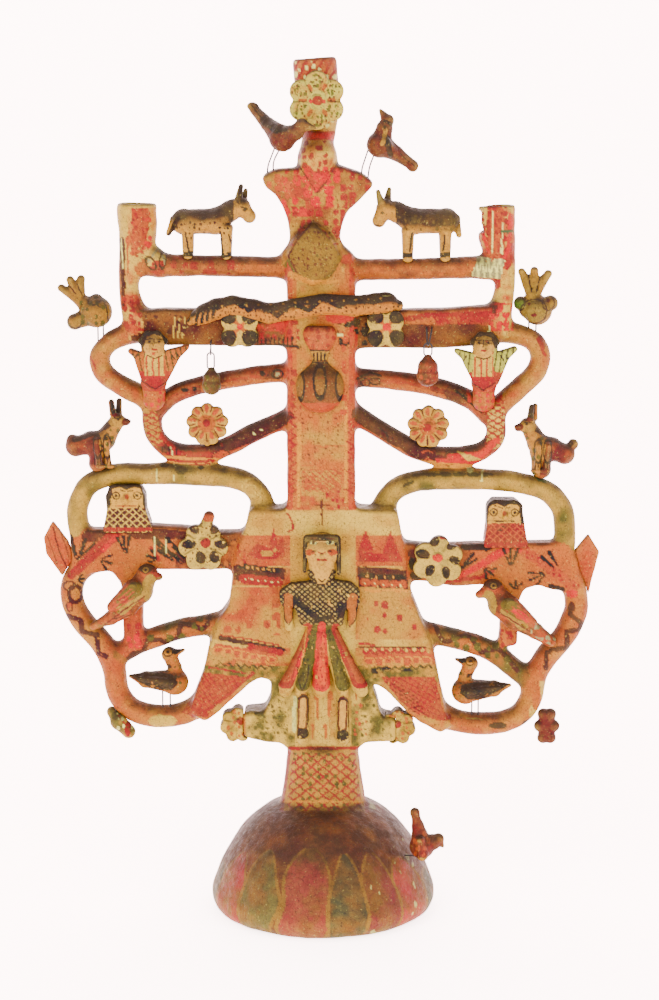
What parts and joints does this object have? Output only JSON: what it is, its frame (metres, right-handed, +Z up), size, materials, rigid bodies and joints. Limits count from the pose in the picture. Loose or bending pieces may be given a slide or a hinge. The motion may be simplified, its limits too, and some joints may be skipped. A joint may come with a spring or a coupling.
{
  "type": "clay tree of life candelabra",
  "caption": "Hand-painted clay tree-of-life candelabra with coil branches, candle cups, animals, wire-mounted birds and hanging fruit.",
  "frame": {"origin": "centre of the base's foot ring, on the surface it stands on", "axes": "+Z up, -Y is the decorated front, +X to the viewer's right"},
  "size_m": [0.4715, 0.193, 0.7273],
  "materials": {
    "painted_clay": "low-fired clay with worn tempera paint over white ground, matt with traces of varnish",
    "painted_clay_maroon": "low-fired clay with worn maroon paint, matt",
    "iron_wire": "darkened iron wire, 1.3 mm"
  },
  "bodies": {
    "tree": {"angel_left": "painted_clay", "angel_right": "painted_clay", "base_dome": "painted_clay_maroon", "bell_panel": "painted_clay", "bust_left": "painted_clay", "bust_right": "painted_clay", "cross_arm_left": "painted_clay", "cross_arm_right": "painted_clay", "crown_bracket": "painted_clay", "crown_cup": "painted_clay", "cup_left": "painted_clay", "cup_right": "painted_clay", "curl_left": "painted_clay", "curl_right": "painted_clay", "dark_petal_flowers": "painted_clay", "donkey_left": "painted_clay", "donkey_right": "painted_clay", "edge_ornaments": "painted_clay", "hook_arm_left": "painted_clay", "hook_arm_right": "painted_clay", "jug": "painted_clay", "lady": "painted_clay", "loop_left": "painted_clay", "loop_right": "painted_clay", "lower_bar_left": "painted_clay", "lower_bar_right": "painted_clay", "middle_bar": "painted_clay", "outer_arm_left": "painted_clay", "outer_arm_right": "painted_clay", "parrot_left": "painted_clay", "parrot_right": "painted_clay", "pendant_hooks": "iron_wire", "rabbit_left": "painted_clay", "rabbit_right": "painted_clay", "rosettes": "painted_clay", "serpent": "painted_clay", "shelf_left": "painted_clay", "shelf_right": "painted_clay", "stem": "painted_clay", "top_flower": "painted_clay", "trunk": "painted_clay", "upper_bar": "painted_clay"},
    "left_dove": {"dove_left": "painted_clay", "dove_left_legs": "iron_wire"},
    "right_dove": {"dove_right": "painted_clay", "dove_right_legs": "iron_wire"},
    "left_duck": {"duck_left": "painted_clay", "duck_left_legs": "iron_wire"},
    "right_duck": {"duck_right": "painted_clay", "duck_right_legs": "iron_wire"},
    "left_fantail": {"fantail_left": "painted_clay", "fantail_left_legs": "iron_wire"},
    "right_fantail": {"fantail_right": "painted_clay", "fantail_right_legs": "iron_wire"},
    "base_bird": {"base_dove": "painted_clay", "base_dove_leg": "iron_wire"},
    "left_pendant": {"fruit_left": "painted_clay", "fruit_left_eye": "iron_wire"},
    "right_pendant": {"fruit_right": "painted_clay", "fruit_right_eye": "iron_wire"}
  },
  "joints": [
    {"name": "left_dove_quiver", "type": "hinge", "parent": "tree", "child": "left_dove", "pos_m": [-0.043, -0.009, 0.62865], "axis": [1, 0, 0], "range_deg": [-3, 3], "stiffness_Nm_per_rad": 0.3},
    {"name": "right_dove_quiver", "type": "hinge", "parent": "tree", "child": "right_dove", "pos_m": [0.0345, -0.005, 0.62565], "axis": [1, 0, 0], "range_deg": [-3, 3], "stiffness_Nm_per_rad": 0.3},
    {"name": "left_duck_quiver", "type": "hinge", "parent": "tree", "child": "left_duck", "pos_m": [-0.13425, -0.0034, 0.1722], "axis": [1, 0, 0], "range_deg": [-2.5, 2.5], "stiffness_Nm_per_rad": 0.3},
    {"name": "right_duck_quiver", "type": "hinge", "parent": "tree", "child": "right_duck", "pos_m": [0.13025, -0.0034, 0.1658], "axis": [1, 0, 0], "range_deg": [-2.5, 2.5], "stiffness_Nm_per_rad": 0.3},
    {"name": "left_fantail_quiver", "type": "hinge", "parent": "tree", "child": "left_fantail", "pos_m": [-0.18575, 0, 0.49075], "axis": [1, 0, 0], "range_deg": [-3, 3], "stiffness_Nm_per_rad": 0.3},
    {"name": "right_fantail_quiver", "type": "hinge", "parent": "tree", "child": "right_fantail", "pos_m": [0.175, 0, 0.49725], "axis": [1, 0, 0], "range_deg": [-3, 3], "stiffness_Nm_per_rad": 0.3},
    {"name": "base_bird_quiver", "type": "hinge", "parent": "tree", "child": "base_bird", "pos_m": [0.0666, -0.03471, 0.0554], "axis": [0.4617, 0.887, 0], "range_deg": [-3, 3], "stiffness_Nm_per_rad": 0.3},
    {"name": "left_pendant_swing", "type": "hinge", "parent": "tree", "child": "left_pendant", "pos_m": [-0.093, -0.02, 0.483], "axis": [0, 1, 0], "range_deg": [-25, 25]},
    {"name": "right_pendant_swing", "type": "hinge", "parent": "tree", "child": "right_pendant", "pos_m": [0.087, -0.021, 0.491], "axis": [0, 1, 0], "range_deg": [-20, 20]}
  ]
}
